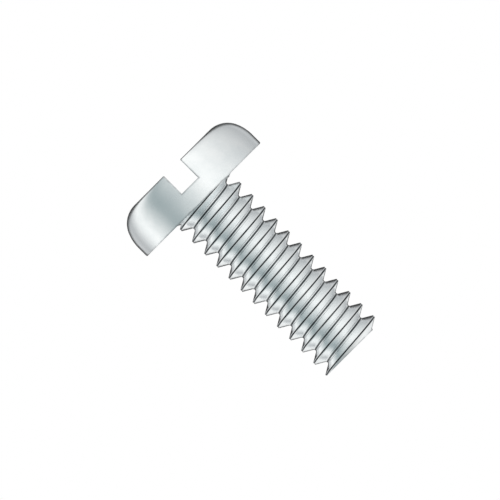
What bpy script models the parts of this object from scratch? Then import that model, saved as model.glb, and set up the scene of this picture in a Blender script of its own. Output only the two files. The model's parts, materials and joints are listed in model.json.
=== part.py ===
"""Slotted pan head machine screw, threaded up to its head, in zinc plated steel.

The real screw is one piece: a head cold formed on a wire blank, a thread rolled on the shank and a
slot sawn across the head. It stands on its head here. The origin is the centre of the head's flat
top, +Z runs up the shank to the tip, and the slot lies along Y. Lengths are in metres.
"""

import math

import bmesh
import bpy

MM = 0.001
TURN = math.tau

# Head: flat top, rim rounded by two arcs that run into each other, straight land, flat bearing face
HEAD_DIAMETER = 9.92 * MM
HEAD_HEIGHT = 2.79 * MM
RIM_RADIUS = 1.60 * MM
SIDE_RADIUS = 2.65 * MM
SIDE_SWEEP = math.radians(24)
BEARING_EDGE_RADIUS = 0.08 * MM

# Fillet between the bearing face and the thread, from just outside the thread inwards
FILLET_RADIUS = 0.50 * MM
FILLET_HEIGHT = 0.10 * MM
FILLET_OUTSIDE_THREAD = 0.075 * MM

# Slot, sawn straight across the head
SLOT_WIDTH = 1.42 * MM
SLOT_DEPTH = 1.57 * MM

# Thread: right-hand, one start, 24 to the inch, with flat crests and rounded roots
THREAD_MAJOR_DIAMETER = 4.69 * MM
THREAD_PITCH = 1.0583 * MM
THREAD_ANGLE = math.radians(60)
CREST_FLAT = 0.148 * MM
ROOT_RADIUS = 0.15 * MM
FIRST_CREST_HEIGHT = 0.33 * MM  # over the bearing face, where the crest passes +X

# Shank, from the bearing face to the sheared tip
SHANK_LENGTH = 13.05 * MM
SHANK_INSIDE_HEAD = 0.5 * MM

# Facets
HEAD_SEGMENTS = 72
THREAD_STEPS = 40
RIM_STEPS = 6
SIDE_STEPS = 4
EDGE_STEPS = 2
FILLET_STEPS = 3
ROOT_STEPS = 4

WELD_DISTANCE = 0.0001 * MM
SMOOTH_BELOW = math.radians(35)

PLATE_COLOUR = (0.80, 0.84, 0.86, 1.0)
PLATE_METALLIC = 1.0
PLATE_ROUGHNESS = 0.3


def clear_scene():
    for obj in list(bpy.data.objects):
        bpy.data.objects.remove(obj)


def arc(centre, radius, start, end, steps):
    """Points (radius from the axis, height) along an arc, from one angle to the other."""
    points = []
    for step in range(steps + 1):
        angle = start + (end - start) * step / steps
        points.append((centre[0] + radius * math.cos(angle), centre[1] + radius * math.sin(angle)))
    return points


def fillet_arc():
    """Hollow arc that leaves the bearing face level and climbs towards the shank."""
    centre = (THREAD_MAJOR_DIAMETER / 2 + FILLET_OUTSIDE_THREAD, HEAD_HEIGHT + FILLET_RADIUS)
    level = -math.pi / 2
    sweep = math.acos(1 - FILLET_HEIGHT / FILLET_RADIUS)
    return arc(centre, FILLET_RADIUS, level, level - sweep, FILLET_STEPS)


def head_outline():
    """Half section of the head, from the middle of its top to the middle of its underside."""
    outer = HEAD_DIAMETER / 2
    rim_start, side_start = -math.pi / 2, -SIDE_SWEEP
    step_in = (SIDE_RADIUS - RIM_RADIUS) * math.cos(SIDE_SWEEP)
    step_down = (SIDE_RADIUS - RIM_RADIUS) * math.sin(SIDE_SWEEP)
    side_centre = (outer - SIDE_RADIUS, RIM_RADIUS + step_down)
    rim_centre = (side_centre[0] + step_in, RIM_RADIUS)
    edge_centre = (outer - BEARING_EDGE_RADIUS, HEAD_HEIGHT - BEARING_EDGE_RADIUS)
    return [
        (0.0, 0.0),
        *arc(rim_centre, RIM_RADIUS, rim_start, side_start, RIM_STEPS),
        *arc(side_centre, SIDE_RADIUS, side_start, 0.0, SIDE_STEPS)[1:],
        *arc(edge_centre, BEARING_EDGE_RADIUS, 0.0, math.pi / 2, EDGE_STEPS),
        *fillet_arc(),
        (0.0, HEAD_HEIGHT + FILLET_HEIGHT),
    ]


def thread_section():
    """One pitch of the thread's section, from the lower edge of a crest to that of the next one."""
    crest = THREAD_MAJOR_DIAMETER / 2
    half_angle = THREAD_ANGLE / 2
    half_groove = (THREAD_PITCH - CREST_FLAT) / 2
    sharp_root = crest - half_groove / math.tan(half_angle)
    root_centre = (sharp_root + ROOT_RADIUS / math.sin(half_angle), CREST_FLAT + half_groove)
    root_start, root_end = math.pi + math.pi / 2 - half_angle, math.pi / 2 + half_angle
    return [
        (crest, 0.0),
        (crest, CREST_FLAT),
        *arc(root_centre, ROOT_RADIUS, root_start, root_end, ROOT_STEPS),
        (crest, THREAD_PITCH),
    ]


def spun_mesh(name, section, segments, turns=1, rise=0.0):
    """Spins a section of (radius, height) points about Z, climbing by rise each turn."""
    bm = bmesh.new()
    points = [bm.verts.new((radius, 0.0, height)) for radius, height in section]
    edges = [bm.edges.new(pair) for pair in zip(points, points[1:])]
    bmesh.ops.spin(
        bm,
        geom=points + edges,
        cent=(0.0, 0.0, 0.0),
        axis=(0.0, 0.0, 1.0),
        dvec=(0.0, 0.0, rise / segments),
        angle=turns * TURN,
        steps=turns * segments,
    )
    bmesh.ops.remove_doubles(bm, verts=bm.verts, dist=WELD_DISTANCE)
    bmesh.ops.recalc_face_normals(bm, faces=bm.faces)
    mesh = bpy.data.meshes.new(name)
    bm.to_mesh(mesh)
    bm.free()
    return mesh


def trim(mesh, bottom, top):
    """Cuts an upright tube square at two heights and closes both ends."""
    bm = bmesh.new()
    bm.from_mesh(mesh)
    for height, outwards in ((bottom, -1.0), (top, 1.0)):
        cut = bmesh.ops.bisect_plane(
            bm,
            geom=[*bm.verts, *bm.edges, *bm.faces],
            plane_co=(0.0, 0.0, height),
            plane_no=(0.0, 0.0, outwards),
            clear_outer=True,
        )
        rim = [item for item in cut["geom_cut"] if isinstance(item, bmesh.types.BMEdge)]
        bmesh.ops.contextual_create(bm, geom=rim)
    bmesh.ops.recalc_face_normals(bm, faces=bm.faces)
    bm.to_mesh(mesh)
    bm.free()


def add_object(name, mesh):
    obj = bpy.data.objects.new(name, mesh)
    bpy.context.scene.collection.objects.link(obj)
    return obj


def make_head():
    mesh = spun_mesh("head", head_outline(), HEAD_SEGMENTS)
    return add_object("head", mesh)


def make_shank():
    """The threaded shank, as long as the screw needs plus the stretch inside the head."""
    bottom = HEAD_HEIGHT - SHANK_INSIDE_HEAD
    top = HEAD_HEIGHT + SHANK_LENGTH
    turns = math.ceil((top - bottom) / THREAD_PITCH) + 3
    first_crest = HEAD_HEIGHT + FIRST_CREST_HEIGHT - CREST_FLAT / 2
    turns_below = math.ceil((first_crest - bottom) / THREAD_PITCH) + 1
    start = first_crest - turns_below * THREAD_PITCH
    section = [(radius, height + start) for radius, height in thread_section()]
    mesh = spun_mesh("shank", section, THREAD_STEPS, turns, THREAD_PITCH)
    trim(mesh, bottom, top)
    return add_object("shank", mesh)


def make_slot_cutter():
    """A bar along Y, longer than the head is wide, whose upper face is the slot's floor."""
    bm = bmesh.new()
    bmesh.ops.create_cube(bm, size=1.0)
    bmesh.ops.scale(bm, vec=(SLOT_WIDTH, 2 * HEAD_DIAMETER, 2 * SLOT_DEPTH), verts=bm.verts)
    mesh = bpy.data.meshes.new("slot_cutter")
    bm.to_mesh(mesh)
    bm.free()
    return add_object("slot_cutter", mesh)


def combine(obj, other, operation):
    """Joins another object to this one, or cuts it out, and removes the other."""
    modifier = obj.modifiers.new(operation.lower(), "BOOLEAN")
    modifier.operation = operation
    modifier.solver = "EXACT"
    modifier.object = other
    bpy.context.view_layer.update()
    graph = bpy.context.evaluated_depsgraph_get()
    result = bpy.data.meshes.new_from_object(obj.evaluated_get(graph))
    obj.modifiers.clear()
    obj.data = result
    bpy.data.objects.remove(other)


def zinc_plate():
    material = bpy.data.materials.new("zinc_plate")
    material.use_nodes = True
    shader = material.node_tree.nodes["Principled BSDF"]
    shader.inputs["Base Color"].default_value = PLATE_COLOUR
    shader.inputs["Metallic"].default_value = PLATE_METALLIC
    shader.inputs["Roughness"].default_value = PLATE_ROUGHNESS
    return material


def make_screw():
    screw = make_head()
    combine(screw, make_shank(), "UNION")
    combine(screw, make_slot_cutter(), "DIFFERENCE")
    screw.name = "pan_head_screw"
    screw.data.name = "pan_head_screw"
    screw.data.materials.clear()
    screw.data.materials.append(zinc_plate())
    screw.data.shade_smooth()
    screw.data.set_sharp_from_angle(angle=SMOOTH_BELOW)
    return screw


clear_scene()
make_screw()
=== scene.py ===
"""Finished surface of a slotted pan head machine screw, in bright zinc plate over steel.

The screw stands on its head, tip up, with the slot along Y. The camera looks square at the slot's
end and is rolled, so that the screw lies across the picture with its head at the upper left.
"""
import json
import math

import bmesh
import bpy
from mathutils import Matrix, Vector


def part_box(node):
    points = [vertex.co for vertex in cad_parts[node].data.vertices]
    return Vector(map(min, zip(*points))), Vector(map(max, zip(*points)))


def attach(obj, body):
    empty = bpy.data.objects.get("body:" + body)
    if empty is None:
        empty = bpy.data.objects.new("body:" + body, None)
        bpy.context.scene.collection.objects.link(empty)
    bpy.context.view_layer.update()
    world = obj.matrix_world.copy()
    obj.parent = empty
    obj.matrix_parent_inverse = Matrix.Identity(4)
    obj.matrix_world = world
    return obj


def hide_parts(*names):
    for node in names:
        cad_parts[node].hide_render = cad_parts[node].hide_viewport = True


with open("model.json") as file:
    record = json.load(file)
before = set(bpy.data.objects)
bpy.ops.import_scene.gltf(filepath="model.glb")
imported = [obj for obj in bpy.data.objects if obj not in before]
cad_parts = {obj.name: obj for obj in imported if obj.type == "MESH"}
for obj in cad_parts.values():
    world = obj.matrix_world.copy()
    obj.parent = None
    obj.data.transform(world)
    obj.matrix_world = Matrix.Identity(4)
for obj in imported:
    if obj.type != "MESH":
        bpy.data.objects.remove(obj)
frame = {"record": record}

MM = 0.001
TURN = math.tau
NODE = "pan_head_screw"
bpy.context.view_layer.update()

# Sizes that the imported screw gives
node_low, node_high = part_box(NODE)
mounts = {mount["name"]: mount for mount in frame["record"]["mounts"]}
HEAD_RADIUS = (node_high[0] - node_low[0]) / 2
TIP_HEIGHT = node_high[2]
HEAD_HEIGHT = mounts["bearing_face"]["pos_m"][2]

# Head, rounded by two arcs that run into each other
RIM_RADIUS = 1.60 * MM
SIDE_RADIUS = 2.65 * MM
SIDE_SWEEP = math.radians(24)
BEARING_EDGE_RADIUS = 0.08 * MM
FILLET_RADIUS = 0.50 * MM
FILLET_HEIGHT = 0.10 * MM
FILLET_OUTSIDE_THREAD = 0.075 * MM

# Slot, with lips that the saw and the plating barrel leave slightly rounded
SLOT_WIDTH = 1.42 * MM
SLOT_DEPTH = 1.57 * MM
LIP_RADIUS = 0.05 * MM

# Thread, with a rolling seam along its crest
THREAD_RADIUS = 2.345 * MM
THREAD_PITCH = 1.0583 * MM
THREAD_ANGLE = math.radians(60)
CREST_FLAT = 0.148 * MM
CREST_EDGE_RADIUS = 0.035 * MM
SEAM_WIDTH = 0.095 * MM
SEAM_DEPTH = 0.034 * MM
ROOT_RADIUS = 0.15 * MM
FIRST_CREST_HEIGHT = 0.33 * MM
SHANK_INSIDE_HEAD = 0.5 * MM
TIP_EDGE_RADIUS = 0.03 * MM
TIP_CUP_DEPTH = 0.06 * MM
TIP_CUP_SHARE = 0.9      # of the end's own outline

# Turns of thread beyond the shank's length, so that the sweep reaches past both of its cuts
SPARE_TURNS_BELOW = 1
SPARE_TURNS = 3

# How finely the curves are divided
HEAD_SEGMENTS = 240
THREAD_STEPS = 120
RIM_STEPS = 16
SIDE_STEPS = 8
EDGE_STEPS = 5
FILLET_STEPS = 6
CREST_EDGE_STEPS = 3
ROOT_STEPS = 8
LIP_STEPS = 4
TIP_CUP_STEPS = 12
WELD_DISTANCE = 0.0001 * MM
SHARP_ANGLE = math.radians(40)

# Places of the materials on the screw
HEADED, SAWN, ROLLED, SHEARED = range(4)


def arc(centre, radius, start, end, steps):
    """Points (radius from the axis, height) along an arc, from one angle to the other."""
    points = []
    for step in range(steps + 1):
        angle = start + (end - start) * step / steps
        points.append((centre[0] + radius * math.cos(angle), centre[1] + radius * math.sin(angle)))
    return points


def head_outline():
    """Half section of the head, from the middle of its top to the middle of its underside."""
    step_in = (SIDE_RADIUS - RIM_RADIUS) * math.cos(SIDE_SWEEP)
    step_down = (SIDE_RADIUS - RIM_RADIUS) * math.sin(SIDE_SWEEP)
    side_centre = (HEAD_RADIUS - SIDE_RADIUS, RIM_RADIUS + step_down)
    rim_centre = (side_centre[0] + step_in, RIM_RADIUS)
    edge_centre = (HEAD_RADIUS - BEARING_EDGE_RADIUS, HEAD_HEIGHT - BEARING_EDGE_RADIUS)
    fillet_centre = (THREAD_RADIUS + FILLET_OUTSIDE_THREAD, HEAD_HEIGHT + FILLET_RADIUS)
    level = -math.pi / 2
    fillet_sweep = math.acos(1 - FILLET_HEIGHT / FILLET_RADIUS)
    return [
        (0.0, 0.0),
        *arc(rim_centre, RIM_RADIUS, level, -SIDE_SWEEP, RIM_STEPS),
        *arc(side_centre, SIDE_RADIUS, -SIDE_SWEEP, 0.0, SIDE_STEPS)[1:],
        *arc(edge_centre, BEARING_EDGE_RADIUS, 0.0, math.pi / 2, EDGE_STEPS),
        *arc(fillet_centre, FILLET_RADIUS, level, level - fillet_sweep, FILLET_STEPS),
        (0.0, HEAD_HEIGHT + FILLET_HEIGHT),
    ]


def thread_section():
    """One pitch of the thread's section, from the middle of a crest's seam to the next one."""
    half_angle = THREAD_ANGLE / 2
    half_flat = CREST_FLAT / 2
    half_groove = (THREAD_PITCH - CREST_FLAT) / 2
    sharp_root = THREAD_RADIUS - half_groove / math.tan(half_angle)
    root_centre = (sharp_root + ROOT_RADIUS / math.sin(half_angle), THREAD_PITCH / 2)
    root_start, root_end = 1.5 * math.pi - half_angle, math.pi / 2 + half_angle
    up = math.pi / 2 - half_angle
    edge_in = THREAD_RADIUS - CREST_EDGE_RADIUS
    edge_height = half_flat - CREST_EDGE_RADIUS * math.tan(up / 2)
    next_edge_height = THREAD_PITCH - edge_height
    return [
        (THREAD_RADIUS - SEAM_DEPTH, 0.0),
        (THREAD_RADIUS, SEAM_WIDTH / 2),
        *arc((edge_in, edge_height), CREST_EDGE_RADIUS, 0.0, up, CREST_EDGE_STEPS),
        *arc(root_centre, ROOT_RADIUS, root_start, root_end, ROOT_STEPS),
        *arc((edge_in, next_edge_height), CREST_EDGE_RADIUS, -up, 0.0, CREST_EDGE_STEPS),
        (THREAD_RADIUS, THREAD_PITCH - SEAM_WIDTH / 2),
        (THREAD_RADIUS - SEAM_DEPTH, THREAD_PITCH),
    ]


def sweep(bm, section, material, segments, turns=1, rise=0.0):
    """Carries a section of (radius, height) points round Z, climbing by rise each turn."""
    rows = []
    for step in range(turns * segments + 1):
        angle = TURN * step / segments
        climb = rise * step / segments
        across, along = math.cos(angle), math.sin(angle)
        rows.append([bm.verts.new((r * across, r * along, h + climb)) for r, h in section])
    for row, next_row in zip(rows, rows[1:]):
        for corners in zip(row, next_row, next_row[1:], row[1:]):
            bm.faces.new(corners).material_index = material
    bmesh.ops.remove_doubles(bm, verts=bm.verts, dist=WELD_DISTANCE)
    bmesh.ops.recalc_face_normals(bm, faces=bm.faces)


def faces_where(bm, test):
    """The faces whose middle passes a test."""
    return [face for face in bm.faces if test(face.calc_center_median())]


def divide(bm, faces, point, normal):
    """Divides the given faces where a plane crosses them."""
    edges = {edge for face in faces for edge in face.edges}
    verts = {vert for face in faces for vert in face.verts}
    bmesh.ops.bisect_plane(bm, geom=[*verts, *edges, *faces], plane_co=point, plane_no=normal)


def close(bm, edges, material):
    """Closes a ring of edges with one flat face."""
    for face in bmesh.ops.contextual_create(bm, geom=edges)["faces"]:
        face.material_index = material


def fall(radius, distance):
    """How far a rounded edge lies below the sharp one, at a distance from it."""
    if distance >= radius:
        return 0.0
    return radius - math.sqrt(radius**2 - (radius - distance) ** 2)


def edge_offsets(radius):
    """Distances from a sharp edge at which its rounding gets a line of points."""
    return [radius * (1 - math.sin(math.pi / 2 * step / LIP_STEPS)) for step in range(LIP_STEPS)]


def round_slot_lips(bm):
    """Lets the head's surface fall away where it comes near the slot's walls."""
    half = SLOT_WIDTH / 2
    moves = {}
    bm.normal_update()
    for vert in bm.verts:
        above_floor = SLOT_DEPTH - vert.co.z
        distance = abs(vert.co.x) - half
        if above_floor <= WELD_DISTANCE or not -WELD_DISTANCE <= distance < LIP_RADIUS:
            continue
        radius = min(LIP_RADIUS, above_floor / 2)
        inwards = Vector((0.0, -vert.normal.y, -vert.normal.z)).normalized()
        moves[vert] = inwards * fall(radius, max(distance, 0.0))
    for vert, move in moves.items():
        vert.co += move


def on_slot_floor(vert):
    return abs(vert.co.z - SLOT_DEPTH) < WELD_DISTANCE


def saw_slot(bm):
    """Cuts the slot along Y through the closed head, and gives it walls and a floor."""
    half = SLOT_WIDTH / 2
    for side in (-1, 1):
        for offset in (*edge_offsets(LIP_RADIUS), 0.0):
            near = faces_where(bm, lambda middle: middle.z < SLOT_DEPTH + LIP_RADIUS)
            divide(bm, near, (side * (half + offset), 0.0, 0.0), (1.0, 0.0, 0.0))
    divide(bm, bm.faces[:], (0.0, 0.0, SLOT_DEPTH), (0.0, 0.0, 1.0))
    round_slot_lips(bm)
    removed = faces_where(bm, lambda middle: abs(middle.x) < half and middle.z < SLOT_DEPTH)
    bmesh.ops.delete(bm, geom=removed, context="FACES")
    rim = [edge for edge in bm.edges if edge.is_boundary]
    floor_rim = [edge for edge in rim if all(on_slot_floor(vert) for vert in edge.verts)]
    for side in (-1, 1):
        wall_rim = [
            edge for edge in rim
            if edge not in floor_rim
            and all(abs(vert.co.x - side * half) < WELD_DISTANCE for vert in edge.verts)
        ]
        ends = [vert for edge in wall_rim for vert in edge.verts if on_slot_floor(vert)]
        corner = bm.edges.new(ends)
        close(bm, [*wall_rim, corner], SAWN)
        floor_rim.append(corner)
    close(bm, floor_rim, SAWN)
    bmesh.ops.recalc_face_normals(bm, faces=bm.faces)


def add_object(name, bm):
    mesh = bpy.data.meshes.new(name)
    bm.to_mesh(mesh)
    bm.free()
    obj = bpy.data.objects.new(name, mesh)
    bpy.context.scene.collection.objects.link(obj)
    return obj


def make_head():
    bm = bmesh.new()
    sweep(bm, head_outline(), HEADED, HEAD_SEGMENTS)
    saw_slot(bm)
    return add_object("head", bm)


def shear(bm, height, outwards, material):
    """Cuts an upright tube square and closes it."""
    cut = bmesh.ops.bisect_plane(
        bm,
        geom=[*bm.verts, *bm.edges, *bm.faces],
        plane_co=(0.0, 0.0, height),
        plane_no=(0.0, 0.0, outwards),
        clear_outer=True,
    )
    close(bm, [item for item in cut["geom_cut"] if isinstance(item, bmesh.types.BMEdge)], material)


def round_tip(bm):
    """Eases the sheared end's edge, all round the thread's outline."""
    for offset in edge_offsets(TIP_EDGE_RADIUS):
        near = faces_where(bm, lambda middle: middle.z > TIP_HEIGHT - THREAD_PITCH)
        divide(bm, near, (0.0, 0.0, TIP_HEIGHT - offset), (0.0, 0.0, 1.0))
    for vert in bm.verts:
        distance = TIP_HEIGHT - vert.co.z
        if distance < TIP_EDGE_RADIUS:
            vert.co.xy *= 1 - fall(TIP_EDGE_RADIUS, max(distance, 0.0)) / vert.co.xy.length


def cup_tip(bm):
    """Hollows the end a little, because rolling draws the skin of the blank past its core."""
    (end,) = [face for face in bm.faces if face.material_index == SHEARED]
    row = rim = list(end.verts)
    bmesh.ops.delete(bm, geom=[end], context="FACES_ONLY")
    for step in range(TIP_CUP_STEPS):
        share = TIP_CUP_SHARE * (1 - step / TIP_CUP_STEPS)
        height = TIP_HEIGHT - TIP_CUP_DEPTH * (1 - (share / TIP_CUP_SHARE) ** 2) ** 2
        next_row = [bm.verts.new((share * vert.co.x, share * vert.co.y, height)) for vert in rim]
        for index, vert in enumerate(row):
            face = bm.faces.new((row[index - 1], vert, next_row[index], next_row[index - 1]))
            face.material_index = SHEARED
        row = next_row
    bm.faces.new(row).material_index = SHEARED


def make_shank():
    """The threaded shank, with a stretch that is sunk in the head."""
    bottom = HEAD_HEIGHT - SHANK_INSIDE_HEAD
    first_crest = HEAD_HEIGHT + FIRST_CREST_HEIGHT
    turns_below = math.ceil((first_crest - bottom) / THREAD_PITCH) + SPARE_TURNS_BELOW
    turns = math.ceil((TIP_HEIGHT - bottom) / THREAD_PITCH) + SPARE_TURNS
    start = first_crest - turns_below * THREAD_PITCH
    section = [(radius, height + start) for radius, height in thread_section()]
    bm = bmesh.new()
    sweep(bm, section, ROLLED, THREAD_STEPS, turns, THREAD_PITCH)
    shear(bm, bottom, -1.0, ROLLED)
    shear(bm, TIP_HEIGHT, 1.0, SHEARED)
    round_tip(bm)
    cup_tip(bm)
    bmesh.ops.recalc_face_normals(bm, faces=bm.faces)
    return add_object("shank", bm)


def join(obj, other):
    """Joins another closed object to this one and removes the other."""
    modifier = obj.modifiers.new("join", "BOOLEAN")
    modifier.operation = "UNION"
    modifier.solver = "EXACT"
    modifier.object = other
    bpy.context.view_layer.update()
    graph = bpy.context.evaluated_depsgraph_get()
    result = bpy.data.meshes.new_from_object(obj.evaluated_get(graph))
    bm = bmesh.new()
    bm.from_mesh(result)
    bmesh.ops.remove_doubles(bm, verts=bm.verts, dist=WELD_DISTANCE)
    bm.to_mesh(result)
    bm.free()
    obj.modifiers.clear()
    obj.data = result
    bpy.data.objects.remove(other)


def feed(tree, socket, value):
    """Gives a socket a link, a colour of three numbers, or any other plain value."""
    if isinstance(value, bpy.types.NodeSocket):
        tree.links.new(value, socket)
    elif socket.type == "RGBA":
        socket.default_value = (*value, 1.0)
    else:
        socket.default_value = value


def add_node(tree, kind, inputs=None, **settings):
    """Adds a node with its settings, and gives its inputs a value or a link each."""
    node = tree.nodes.new(kind)
    for name, value in settings.items():
        setattr(node, name, value)
    for name, value in (inputs or {}).items():
        feed(tree, node.inputs[name], value)
    return node


def place_group(tree, group, **inputs):
    """Places a group of nodes. Its inputs' names have spaces for the underscores."""
    node = tree.nodes.new("ShaderNodeGroup")
    node.node_tree = group
    for name, value in inputs.items():
        feed(tree, node.inputs[name.replace("_", " ")], value)
    return node.outputs


def calculate(tree, operation, *values, clamp=False):
    inputs = dict(enumerate(values))
    node = add_node(tree, "ShaderNodeMath", inputs, operation=operation, use_clamp=clamp)
    return node.outputs[0]


def between(tree, mask, low, high):
    """A number that goes from low where a mask is 0 to high where it is 1."""
    return calculate(tree, "MULTIPLY_ADD", mask, high - low, low)


def fade(tree, value, start, end):
    """A mask that goes smoothly from 0 at start to 1 at end, in either direction."""
    inputs = {"Value": value, "From Min": start, "From Max": end}
    node = add_node(tree, "ShaderNodeMapRange", inputs, interpolation_type="SMOOTHSTEP")
    return node.outputs[0]


def mix(tree, factor, first, second):
    inputs = {0: factor, 6: first, 7: second}
    return add_node(tree, "ShaderNodeMix", inputs, data_type="RGBA").outputs[2]


def noise(tree, place, scale, detail, roughness=0.5):
    inputs = {"Vector": place, "Scale": scale, "Detail": detail, "Roughness": roughness}
    return add_node(tree, "ShaderNodeTexNoise", inputs).outputs[0]


def stretch(tree, place, scale, rotation=(0.0, 0.0, 0.0)):
    inputs = {"Vector": place, "Rotation": rotation, "Scale": scale}
    return add_node(tree, "ShaderNodeMapping", inputs).outputs[0]


SOCKET_KINDS = {"number": "NodeSocketFloat", "place": "NodeSocketVector"}


def start_group(name, inputs, outputs):
    """An empty group of nodes. An input is a place, or the usual value of a number."""
    tree = bpy.data.node_groups.new(name, "ShaderNodeTree")
    for socket_name, usual in inputs.items():
        kind = SOCKET_KINDS["place" if usual == "place" else "number"]
        socket = tree.interface.new_socket(socket_name, in_out="INPUT", socket_type=kind)
        if usual != "place":
            socket.default_value = usual
    for socket_name, kind in outputs.items():
        tree.interface.new_socket(socket_name, in_out="OUTPUT", socket_type=SOCKET_KINDS[kind])
    given = tree.nodes.new("NodeGroupInput").outputs
    result = tree.nodes.new("NodeGroupOutput").inputs
    return tree, given, result


def place_on_screw():
    """Where a point of the screw is, in millimetres and in turns about the axis."""
    numbers = {"Across": "number", "Height": "number", "Radius": "number", "Turn": "number"}
    tree, _, result = start_group("place_on_screw", {}, {"Place": "place", **numbers})
    metres = {0: add_node(tree, "ShaderNodeTexCoord").outputs["Object"], "Scale": 1 / MM}
    place = add_node(tree, "ShaderNodeVectorMath", metres, operation="SCALE").outputs[0]
    parts = add_node(tree, "ShaderNodeSeparateXYZ", {0: place}).outputs
    flat = add_node(tree, "ShaderNodeCombineXYZ", {"X": parts["X"], "Y": parts["Y"]}).outputs[0]
    length = add_node(tree, "ShaderNodeVectorMath", {0: flat}, operation="LENGTH")
    angle = calculate(tree, "ARCTAN2", parts["Y"], parts["X"])
    feed(tree, result["Place"], place)
    feed(tree, result["Across"], calculate(tree, "ABSOLUTE", parts["X"]))
    feed(tree, result["Height"], parts["Z"])
    feed(tree, result["Radius"], length.outputs["Value"])
    feed(tree, result["Turn"], calculate(tree, "DIVIDE", angle, TURN))
    return tree


# Effects on the plate. Places are in millimetres, and a pair of numbers says where a mask of
# 0 to 1 starts and where it is full
HAZE_FADE = (0.34, 0.66)
SCRATCH_STRETCH = (1.0, 14.0, 14.0)
SCRATCH_ROTATIONS = ((0.4, 0.9, 0.2), (1.3, -0.5, 1.1), (-0.8, 0.3, 2.2))
SCRATCH_FADE = (0.66, 0.74)
SCRATCHED_PATCHES_PER_MM = 0.9
SCRATCHED_FADE = (0.62, 0.38)
LINE_FADE = (0.28, 0.72)
RUB_PATCHES_PER_MM = 2.2
RUB_FADE = (0.1, 0.55)


def plating_haze():
    """Soft cloudiness of the zinc bath, from 0 where the plate is bright to 1 where it is dull."""
    tree, given, result = start_group(
        "plating_haze", {"Place": "place", "Patches per mm": 0.6}, {"Haze": "number"}
    )
    clouds = noise(tree, given["Place"], given["Patches per mm"], detail=5.0, roughness=0.62)
    feed(tree, result["Haze"], fade(tree, clouds, *HAZE_FADE))
    return tree


def barrel_marks():
    """Short fine scratches in three directions, from screws that tumble on each other."""
    tree, given, result = start_group(
        "barrel_marks", {"Place": "place", "Marks per mm": 1.1, "Share": 0.5}, {"Marks": "number"}
    )
    marks = 0.0
    for rotation in SCRATCH_ROTATIONS:
        turned = stretch(tree, given["Place"], SCRATCH_STRETCH, rotation)
        grain = noise(tree, turned, given["Marks per mm"], detail=1.0)
        marks = calculate(tree, "MAXIMUM", marks, fade(tree, grain, *SCRATCH_FADE))
    patches = noise(tree, given["Place"], SCRATCHED_PATCHES_PER_MM, detail=1.0)
    scratched = fade(tree, patches, *SCRATCHED_FADE)
    kept = calculate(tree, "MULTIPLY", scratched, given["Share"])
    feed(tree, result["Marks"], calculate(tree, "MULTIPLY", marks, kept))
    return tree


def tool_streaks():
    """Fine lines that a tool draws along one direction, about half of them light."""
    tree, given, result = start_group(
        "tool_streaks", {"Stretched Place": "place", "Lines": 1.0}, {"Streaks": "number"}
    )
    lines = noise(tree, given["Stretched Place"], given["Lines"], detail=3.0, roughness=0.7)
    feed(tree, result["Streaks"], fade(tree, lines, *LINE_FADE))
    return tree


def edge_rub():
    """Where an edge is rubbed: all of it close to the edge, broken up further away."""
    tree, given, result = start_group(
        "edge_rub", {"Place": "place", "Distance": 0.0, "Reach": 0.17}, {"Rub": "number"}
    )
    share = calculate(tree, "DIVIDE", given["Distance"], given["Reach"])
    nearness = calculate(tree, "SUBTRACT", 1.0, share, clamp=True)
    patches = noise(tree, given["Place"], RUB_PATCHES_PER_MM, detail=3.0)
    broken = calculate(tree, "MULTIPLY", nearness, patches)
    feed(tree, result["Rub"], fade(tree, broken, *RUB_FADE))
    return tree


# Thread: where the masks of its parts start and are full, and how fast its lines change
SEAM_FADE = (0.65, 0.40)      # of the seam's width, from the middle of the crest
CREST_FADE = (0.12, 0.02)     # millimetres in from the crest
ROOT_FADE = (0.085, 0.03)     # millimetres from the middle of the root
LINES_ACROSS_THREAD = 6.0
LINES_ALONG_SCREW = 3.0


def thread_place():
    """Masks for the parts of the thread, and a place that keeps its value along the helix."""
    tree, given, result = start_group(
        "thread_place",
        {"Height": 0.0, "Radius": 0.0, "Turn": 0.0},
        {"Seam": "number", "Crest": "number", "Root": "number", "Helix Place": "place"},
    )
    pitch = THREAD_PITCH / MM
    seam = SEAM_WIDTH / MM
    radius = THREAD_RADIUS / MM
    above = calculate(tree, "SUBTRACT", given["Height"], (HEAD_HEIGHT + FIRST_CREST_HEIGHT) / MM)
    pitches = calculate(tree, "SUBTRACT", calculate(tree, "DIVIDE", above, pitch), given["Turn"])
    from_crest = calculate(tree, "MULTIPLY", calculate(tree, "PINGPONG", pitches, 0.5), pitch)
    phase = calculate(tree, "MULTIPLY", pitches, TURN)
    cosine, sine = (calculate(tree, operation, phase) for operation in ("COSINE", "SINE"))
    helix = {
        "X": calculate(tree, "MULTIPLY", cosine, LINES_ACROSS_THREAD),
        "Y": calculate(tree, "MULTIPLY", sine, LINES_ACROSS_THREAD),
        "Z": calculate(tree, "MULTIPLY", given["Height"], LINES_ALONG_SCREW),
    }
    seam_limits = [seam * share for share in SEAM_FADE]
    crest_limits = [radius - depth for depth in CREST_FADE]
    root_limits = [pitch / 2 - distance for distance in ROOT_FADE]
    feed(tree, result["Seam"], fade(tree, from_crest, *seam_limits))
    feed(tree, result["Crest"], fade(tree, given["Radius"], *crest_limits))
    feed(tree, result["Root"], fade(tree, from_crest, *root_limits))
    feed(tree, result["Helix Place"], add_node(tree, "ShaderNodeCombineXYZ", helix).outputs[0])
    return tree


# Colours of the plate, and the painted shade for the thread's seam and root
BRIGHT_ZINC = (0.875, 0.90, 0.905)
DULL_ZINC = (0.81, 0.85, 0.86)
RUBBED_ZINC = (0.89, 0.90, 0.90)
RUBBED_STEEL = (0.47, 0.49, 0.50)
SAWN_ZINC = (0.72, 0.77, 0.79)
ROLLED_ZINC = (0.94, 0.955, 0.96)
# Near-black painted shade, standing in for the shadow in the thread's seam and root
RECESS_SHADE = (0.05, 0.06, 0.065)

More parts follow.
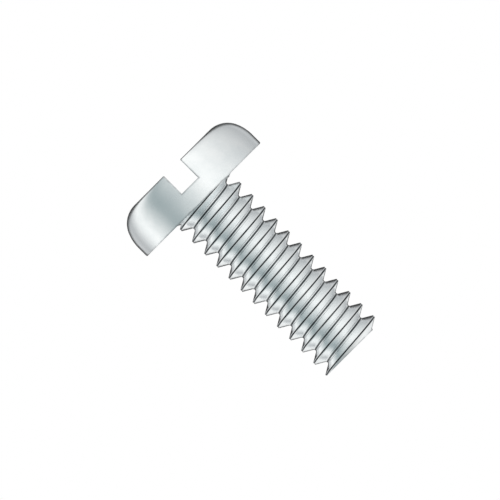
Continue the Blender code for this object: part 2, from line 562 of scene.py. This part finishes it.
# Roughness of each surface, at its smoothest and where haze or lines are strongest
HEADED_ROUGHNESS = (0.15, 0.23)
SAWN_ROUGHNESS = (0.28, 0.40)
ROLLED_ROUGHNESS = (0.13, 0.21)
SHEARED_ROUGHNESS = (0.24, 0.36)
MARKS_ROUGHEN = 0.12
RECESS_ROUGHENS = 0.25

# How deep the fine marks are
HEADED_MARK_DEPTH = 0.0012 * MM
SAWN_LINE_DEPTH = 0.003 * MM
ROLLED_LINE_DEPTH = 0.0015 * MM
SHEARED_LINE_DEPTH = 0.005 * MM

# Directions and fineness of the fine marks
DIE_RINGS_PER_MM = 9.0
UNDERSIDE_FADE = (0.03, 0.005)      # millimetres below the bearing face
SAWN_STRETCH = (26.0, 0.5, 26.0)
SHEARED_STRETCH = (0.9, 9.0, 9.0)
SHEARED_ROTATION = (0.0, 0.0, 0.6)

# How much of the second colour the strongest haze or lines show
SAWN_LINES_SHOW = 0.5
ROLLED_HAZE_SHOWS = 0.6
ROLLED_LINES_SHOW = 0.35
RUBBED_CREST_SHOWS = 0.5
SHEARED_LINES_SHOW = 0.5

# How much of a recess the painted shade covers, and what haze and lines add to that
RECESS_SHADE_COVER = 0.82
RECESS_SHADE_IN_HAZE = 0.15
RECESS_SHADE_IN_LINES = 0.2


def start_metal(name):
    material = bpy.data.materials.new(name)
    material.use_nodes = True
    tree = material.node_tree
    shader = tree.nodes["Principled BSDF"]
    shader.inputs["Metallic"].default_value = 1.0
    return material, tree, shader.inputs


def relief(tree, height, depth):
    """Fine relief, with its depth in metres."""
    inputs = {"Height": height, "Distance": depth, "Strength": 1.0}
    return add_node(tree, "ShaderNodeBump", inputs).outputs[0]


def headed_zinc(groups):
    """Head: smooth but for the die's rings under it, hazed, scratched in the barrel, rubbed."""
    material, tree, surface = start_metal("headed_zinc")
    here = place_group(tree, groups["place"])
    haze = place_group(tree, groups["haze"], Place=here["Place"])[0]
    marks = place_group(tree, groups["marks"], Place=here["Place"])[0]
    from_wall = calculate(tree, "SUBTRACT", here["Across"], SLOT_WIDTH / 2 / MM)
    from_floor = calculate(tree, "SUBTRACT", here["Height"], SLOT_DEPTH / MM)
    from_slot = calculate(tree, "MAXIMUM", from_wall, from_floor)
    from_rim = calculate(tree, "SUBTRACT", HEAD_RADIUS / MM, here["Radius"])
    from_bearing = calculate(tree, "SUBTRACT", HEAD_HEIGHT / MM, here["Height"])
    from_corner = calculate(tree, "MAXIMUM", from_rim, from_bearing)
    from_edge = calculate(tree, "MINIMUM", from_slot, from_corner)
    rub = place_group(tree, groups["rub"], Place=here["Place"], Distance=from_edge)[0]
    plate = mix(tree, haze, BRIGHT_ZINC, DULL_ZINC)
    feed(tree, surface["Base Color"], mix(tree, rub, plate, RUBBED_STEEL))
    ringed = {"X": calculate(tree, "MULTIPLY", here["Radius"], DIE_RINGS_PER_MM), "Y": here["Turn"]}
    die_place = add_node(tree, "ShaderNodeCombineXYZ", ringed).outputs[0]
    die_rings = place_group(tree, groups["streaks"], Stretched_Place=die_place)[0]
    underside_limits = [HEAD_HEIGHT / MM - depth for depth in UNDERSIDE_FADE]
    underside = fade(tree, here["Height"], *underside_limits)
    worked = calculate(tree, "ADD", marks, calculate(tree, "MULTIPLY", die_rings, underside))
    hazed = between(tree, haze, *HEADED_ROUGHNESS)
    roughness = calculate(tree, "MULTIPLY_ADD", worked, MARKS_ROUGHEN, hazed)
    feed(tree, surface["Roughness"], roughness)
    feed(tree, surface["Normal"], relief(tree, worked, -HEADED_MARK_DEPTH))
    return material


def sawn_zinc(groups):
    """Slot: straight lines along the saw's path, duller than the rest."""
    material, tree, surface = start_metal("sawn_zinc")
    here = place_group(tree, groups["place"])
    haze = place_group(tree, groups["haze"], Place=here["Place"])[0]
    lines = stretch(tree, here["Place"], SAWN_STRETCH)
    streaks = place_group(tree, groups["streaks"], Stretched_Place=lines)[0]
    plate = mix(tree, haze, SAWN_ZINC, DULL_ZINC)
    light_lines = calculate(tree, "MULTIPLY", streaks, SAWN_LINES_SHOW)
    feed(tree, surface["Base Color"], mix(tree, light_lines, plate, RUBBED_ZINC))
    feed(tree, surface["Roughness"], between(tree, streaks, *SAWN_ROUGHNESS))
    feed(tree, surface["Normal"], relief(tree, streaks, SAWN_LINE_DEPTH))
    return material


def rolled_zinc(groups):
    """Thread: lines drawn along the helix, painted shade in the seam and the root, crests rubbed.
    """
    material, tree, surface = start_metal("rolled_zinc")
    here = place_group(tree, groups["place"])
    screwed = {name: here[name] for name in ("Height", "Radius", "Turn")}
    thread = place_group(tree, groups["thread"], **screwed)
    haze = place_group(tree, groups["haze"], Place=here["Place"], Patches_per_mm=0.9)[0]
    streaks = place_group(tree, groups["streaks"], Stretched_Place=thread["Helix Place"])[0]
    hazed = calculate(tree, "MULTIPLY", haze, ROLLED_HAZE_SHOWS)
    dull_lines = calculate(tree, "MULTIPLY", streaks, ROLLED_LINES_SHOW)
    crest = calculate(tree, "MULTIPLY", thread["Crest"], RUBBED_CREST_SHOWS)
    from_end = calculate(tree, "SUBTRACT", TIP_HEIGHT / MM, here["Height"])
    end_rub = place_group(tree, groups["rub"], Place=here["Place"], Distance=from_end)[0]
    # Painted shade: the seam and the root are darkened towards near black, in place of the shadow
    # in these recesses
    recess = calculate(tree, "MAXIMUM", thread["Seam"], thread["Root"])
    shade_cover = calculate(tree, "MULTIPLY_ADD", haze, RECESS_SHADE_IN_HAZE, RECESS_SHADE_COVER)
    shade_cover = calculate(tree, "MULTIPLY_ADD", streaks, RECESS_SHADE_IN_LINES, shade_cover)
    painted_shade = calculate(tree, "MULTIPLY", recess, shade_cover)
    colour = mix(tree, hazed, ROLLED_ZINC, BRIGHT_ZINC)
    colour = mix(tree, dull_lines, colour, DULL_ZINC)
    colour = mix(tree, crest, colour, RUBBED_ZINC)
    colour = mix(tree, end_rub, colour, RUBBED_STEEL)
    feed(tree, surface["Base Color"], mix(tree, painted_shade, colour, RECESS_SHADE))
    drawn = between(tree, streaks, *ROLLED_ROUGHNESS)
    roughness = calculate(tree, "MULTIPLY_ADD", painted_shade, RECESS_ROUGHENS, drawn)
    feed(tree, surface["Roughness"], roughness)
    feed(tree, surface["Normal"], relief(tree, streaks, ROLLED_LINE_DEPTH))
    return material


def sheared_zinc(groups):
    """End: lines across the cut, where the blank was sheared off."""
    material, tree, surface = start_metal("sheared_zinc")
    here = place_group(tree, groups["place"])
    haze = place_group(tree, groups["haze"], Place=here["Place"], Patches_per_mm=1.4)[0]
    lines = stretch(tree, here["Place"], SHEARED_STRETCH, SHEARED_ROTATION)
    streaks = place_group(tree, groups["streaks"], Stretched_Place=lines)[0]
    plate = mix(tree, haze, BRIGHT_ZINC, SAWN_ZINC)
    dull_lines = calculate(tree, "MULTIPLY", streaks, SHEARED_LINES_SHOW)
    feed(tree, surface["Base Color"], mix(tree, dull_lines, plate, SAWN_ZINC))
    feed(tree, surface["Roughness"], between(tree, haze, *SHEARED_ROUGHNESS))
    feed(tree, surface["Normal"], relief(tree, streaks, SHEARED_LINE_DEPTH))
    return material


def make_metals():
    """The materials, in the order of their places on the screw."""
    groups = {
        "place": place_on_screw(),
        "haze": plating_haze(),
        "marks": barrel_marks(),
        "streaks": tool_streaks(),
        "rub": edge_rub(),
        "thread": thread_place(),
    }
    return [headed_zinc(groups), sawn_zinc(groups), rolled_zinc(groups), sheared_zinc(groups)]


def make_screw():
    metals = make_metals()
    screw = make_head()
    shank = make_shank()
    for metal in metals:
        screw.data.materials.append(metal)
        shank.data.materials.append(metal)
    join(screw, shank)
    screw.name = "finished_screw"
    screw.data.shade_smooth()
    screw.data.set_sharp_from_angle(angle=SHARP_ANGLE)
    weighted = screw.modifiers.new("normals", "WEIGHTED_NORMAL")
    weighted.keep_sharp = True
    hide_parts(NODE)
    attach(screw, "root")


# Floor. Its gap is so small that the screw still stands on it, but their faces don't coincide
FLOOR_HALF_WIDTH = 0.5
FLOOR_COLOUR = (0.94, 0.94, 0.94)
FLOOR_ROUGHNESS = 0.9
FLOOR_GAP = 0.005 * MM


def make_floor():
    bm = bmesh.new()
    bmesh.ops.create_grid(bm, x_segments=1, y_segments=1, size=FLOOR_HALF_WIDTH)
    floor = add_object("floor", bm)
    material = bpy.data.materials.new("pale_floor")
    material.use_nodes = True
    tree = material.node_tree
    surface = tree.nodes["Principled BSDF"].inputs
    feed(tree, surface["Base Color"], FLOOR_COLOUR)
    feed(tree, surface["Roughness"], FLOOR_ROUGHNESS)
    feed(tree, surface["Specular IOR Level"], 0.0)
    floor.data.materials.append(material)
    floor.location.z = -FLOOR_GAP
    floor.visible_glossy = False


# White surroundings, which light less than they show
SURROUNDINGS = (1.0, 1.0, 1.0)
LIT_BY, SEEN_AS = 0.5, 1.0


def make_world():
    world = bpy.data.worlds.new("studio")
    world.use_nodes = True
    tree = world.node_tree
    path = add_node(tree, "ShaderNodeLightPath").outputs
    seen = calculate(tree, "MAXIMUM", path["Is Camera Ray"], path["Is Glossy Ray"])
    seen = calculate(tree, "MAXIMUM", seen, path["Is Transmission Ray"])
    background = tree.nodes["Background"].inputs
    feed(tree, background["Color"], SURROUNDINGS)
    feed(tree, background["Strength"], between(tree, seen, LIT_BY, SEEN_AS))
    bpy.context.scene.world = world


# Light dome: a lit ball about the screw that only the metal reflects, hung with four kinds of
# sheet that blend into each other and fan out from behind the screw. Degrees say which way the
# screw's side faces where it shows a sheet, from the camera's side towards +X
DOME_RADIUS = 80 * MM
DOME_SEGMENTS = 96
WHITE_SHEET = (1.12, 1.12, 1.11)
PALE_SHEET = (0.74, 0.75, 0.76)
GREY_SHEET = (0.52, 0.53, 0.54)
BLUE_GREY_SHEET = (0.42, 0.48, 0.49)
DOME_SHEETS = {
    -78: PALE_SHEET,
    -66: GREY_SHEET,
    -15: WHITE_SHEET,
    -10: WHITE_SHEET,
    22: BLUE_GREY_SHEET,
    27: BLUE_GREY_SHEET,
    46: WHITE_SHEET,
    50: WHITE_SHEET,
    65: GREY_SHEET,
    78: PALE_SHEET,
}
# The sheets lean outwards above and below. One more sheet hangs behind the screw and above it,
# which lights the ends of the thread's flanks. The dome is darker overhead, and in a gap right
# behind the screw, which gives the metal dark edges all round
SHEET_LEAN = 0.18
BACK_SHEET = (0.90, 0.91, 0.91)
BACK_FADE = (0.6, 0.8)
ABOVE_FADE = (0.08, 0.28)
ROOF_FADE = (0.78, 1.0)
ROOF_DARKENING = 0.4
GAP_FADE = (0.84, 0.93)
GAP_DARKENING = 0.94


def hide_from_all_but_metal(obj):
    obj.visible_camera = False
    obj.visible_diffuse = False
    obj.visible_transmission = False
    obj.visible_shadow = False


def hang_sheets(ramp):
    """Gives a ramp over half a turn the dome's sheets."""
    stops = ramp.color_ramp.elements
    stops.remove(stops[0])
    for index, (degrees, colour) in enumerate(DOME_SHEETS.items()):
        place_on_ramp = degrees / 180 + 0.5
        stop = stops.new(place_on_ramp) if index else stops[0]
        stop.position = place_on_ramp
        stop.color = (*colour, 1.0)


def make_dome():
    bm = bmesh.new()
    rings = DOME_SEGMENTS // 2
    bmesh.ops.create_uvsphere(bm, u_segments=DOME_SEGMENTS, v_segments=rings, radius=DOME_RADIUS)
    dome = add_object("light_dome", bm)
    material = bpy.data.materials.new("dome_sheets")
    material.use_nodes = True
    tree = material.node_tree
    tree.nodes.remove(tree.nodes["Principled BSDF"])
    place = {0: add_node(tree, "ShaderNodeTexCoord").outputs["Object"]}
    outwards = add_node(tree, "ShaderNodeVectorMath", place, operation="NORMALIZE").outputs[0]
    parts = add_node(tree, "ShaderNodeSeparateXYZ", {0: outwards}).outputs
    in_front = calculate(tree, "SUBTRACT", 1.0, parts["Y"])
    facing = calculate(tree, "ARCTAN2", parts["X"], in_front)
    tilt = calculate(tree, "MULTIPLY", parts["Z"], parts["Z"])
    lean = calculate(tree, "MULTIPLY_ADD", tilt, -SHEET_LEAN, 1.0)
    leant = calculate(tree, "MULTIPLY", facing, lean)
    across_ramp = {0: calculate(tree, "MULTIPLY_ADD", leant, 1 / math.pi, 0.5)}
    ramp = add_node(tree, "ShaderNodeValToRGB", across_ramp)
    hang_sheets(ramp)
    behind = fade(tree, parts["Y"], *BACK_FADE)
    above = fade(tree, parts["Z"], *ABOVE_FADE)
    back = calculate(tree, "MULTIPLY", behind, above)
    colour = mix(tree, back, ramp.outputs[0], BACK_SHEET)
    roof = between(tree, fade(tree, parts["Z"], *ROOF_FADE), 1.0, 1.0 - ROOF_DARKENING)
    gap = between(tree, fade(tree, parts["Y"], *GAP_FADE), 1.0, 1.0 - GAP_DARKENING)
    sheets = {"Color": colour, "Strength": calculate(tree, "MULTIPLY", roof, gap)}
    light = add_node(tree, "ShaderNodeEmission", sheets).outputs[0]
    feed(tree, tree.nodes["Material Output"].inputs["Surface"], light)
    dome.data.materials.append(material)
    hide_from_all_but_metal(dome)


# Softbox, which lights the floor
LAMP_WIDTH = 1.7
LAMP_POWER = 18.0
LAMP_PLACE = Vector((-0.42, -0.42, 1.26))
LAMP_AIM = Vector((0.0, 0.0, 0.008))


def make_lamp():
    light = bpy.data.lights.new("softbox", "AREA")
    light.size = LAMP_WIDTH
    light.energy = LAMP_POWER
    lamp = bpy.data.objects.new("softbox", light)
    bpy.context.scene.collection.objects.link(lamp)
    lamp.location = LAMP_PLACE
    lamp.rotation_euler = (LAMP_AIM - LAMP_PLACE).to_track_quat("-Z", "Y").to_euler()
    lamp.visible_glossy = False
    lamp.visible_camera = False


# Camera: square at the slot's end, with the axis running down to the right at 45 degrees
PICTURE_WIDTH = 500
PICTURE_SCALE = 0.06171 * MM
VIEW_ACROSS = 0.181 * MM
VIEW_HEIGHT = 6.998 * MM
CAMERA_DISTANCE = 50 * MM
CAMERA_NEAR = 1 * MM
CAMERA_FAR = 1000 * MM


def make_camera():
    camera = bpy.data.cameras.new("camera")
    camera.type = "ORTHO"
    camera.ortho_scale = PICTURE_WIDTH * PICTURE_SCALE
    camera.clip_start = CAMERA_NEAR
    camera.clip_end = CAMERA_FAR
    obj = bpy.data.objects.new("camera", camera)
    bpy.context.scene.collection.objects.link(obj)
    right = Vector((-1.0, 0.0, 1.0)).normalized()
    up = Vector((-1.0, 0.0, -1.0)).normalized()
    back = right.cross(up)
    turn = Matrix((right, up, back)).transposed().to_4x4()
    obj.matrix_world = Matrix.Translation((VIEW_ACROSS, -CAMERA_DISTANCE, VIEW_HEIGHT)) @ turn
    bpy.context.scene.camera = obj


bpy.context.scene.view_settings.view_transform = "Standard"
make_world()
make_camera()
make_floor()
make_dome()
make_lamp()
make_screw()
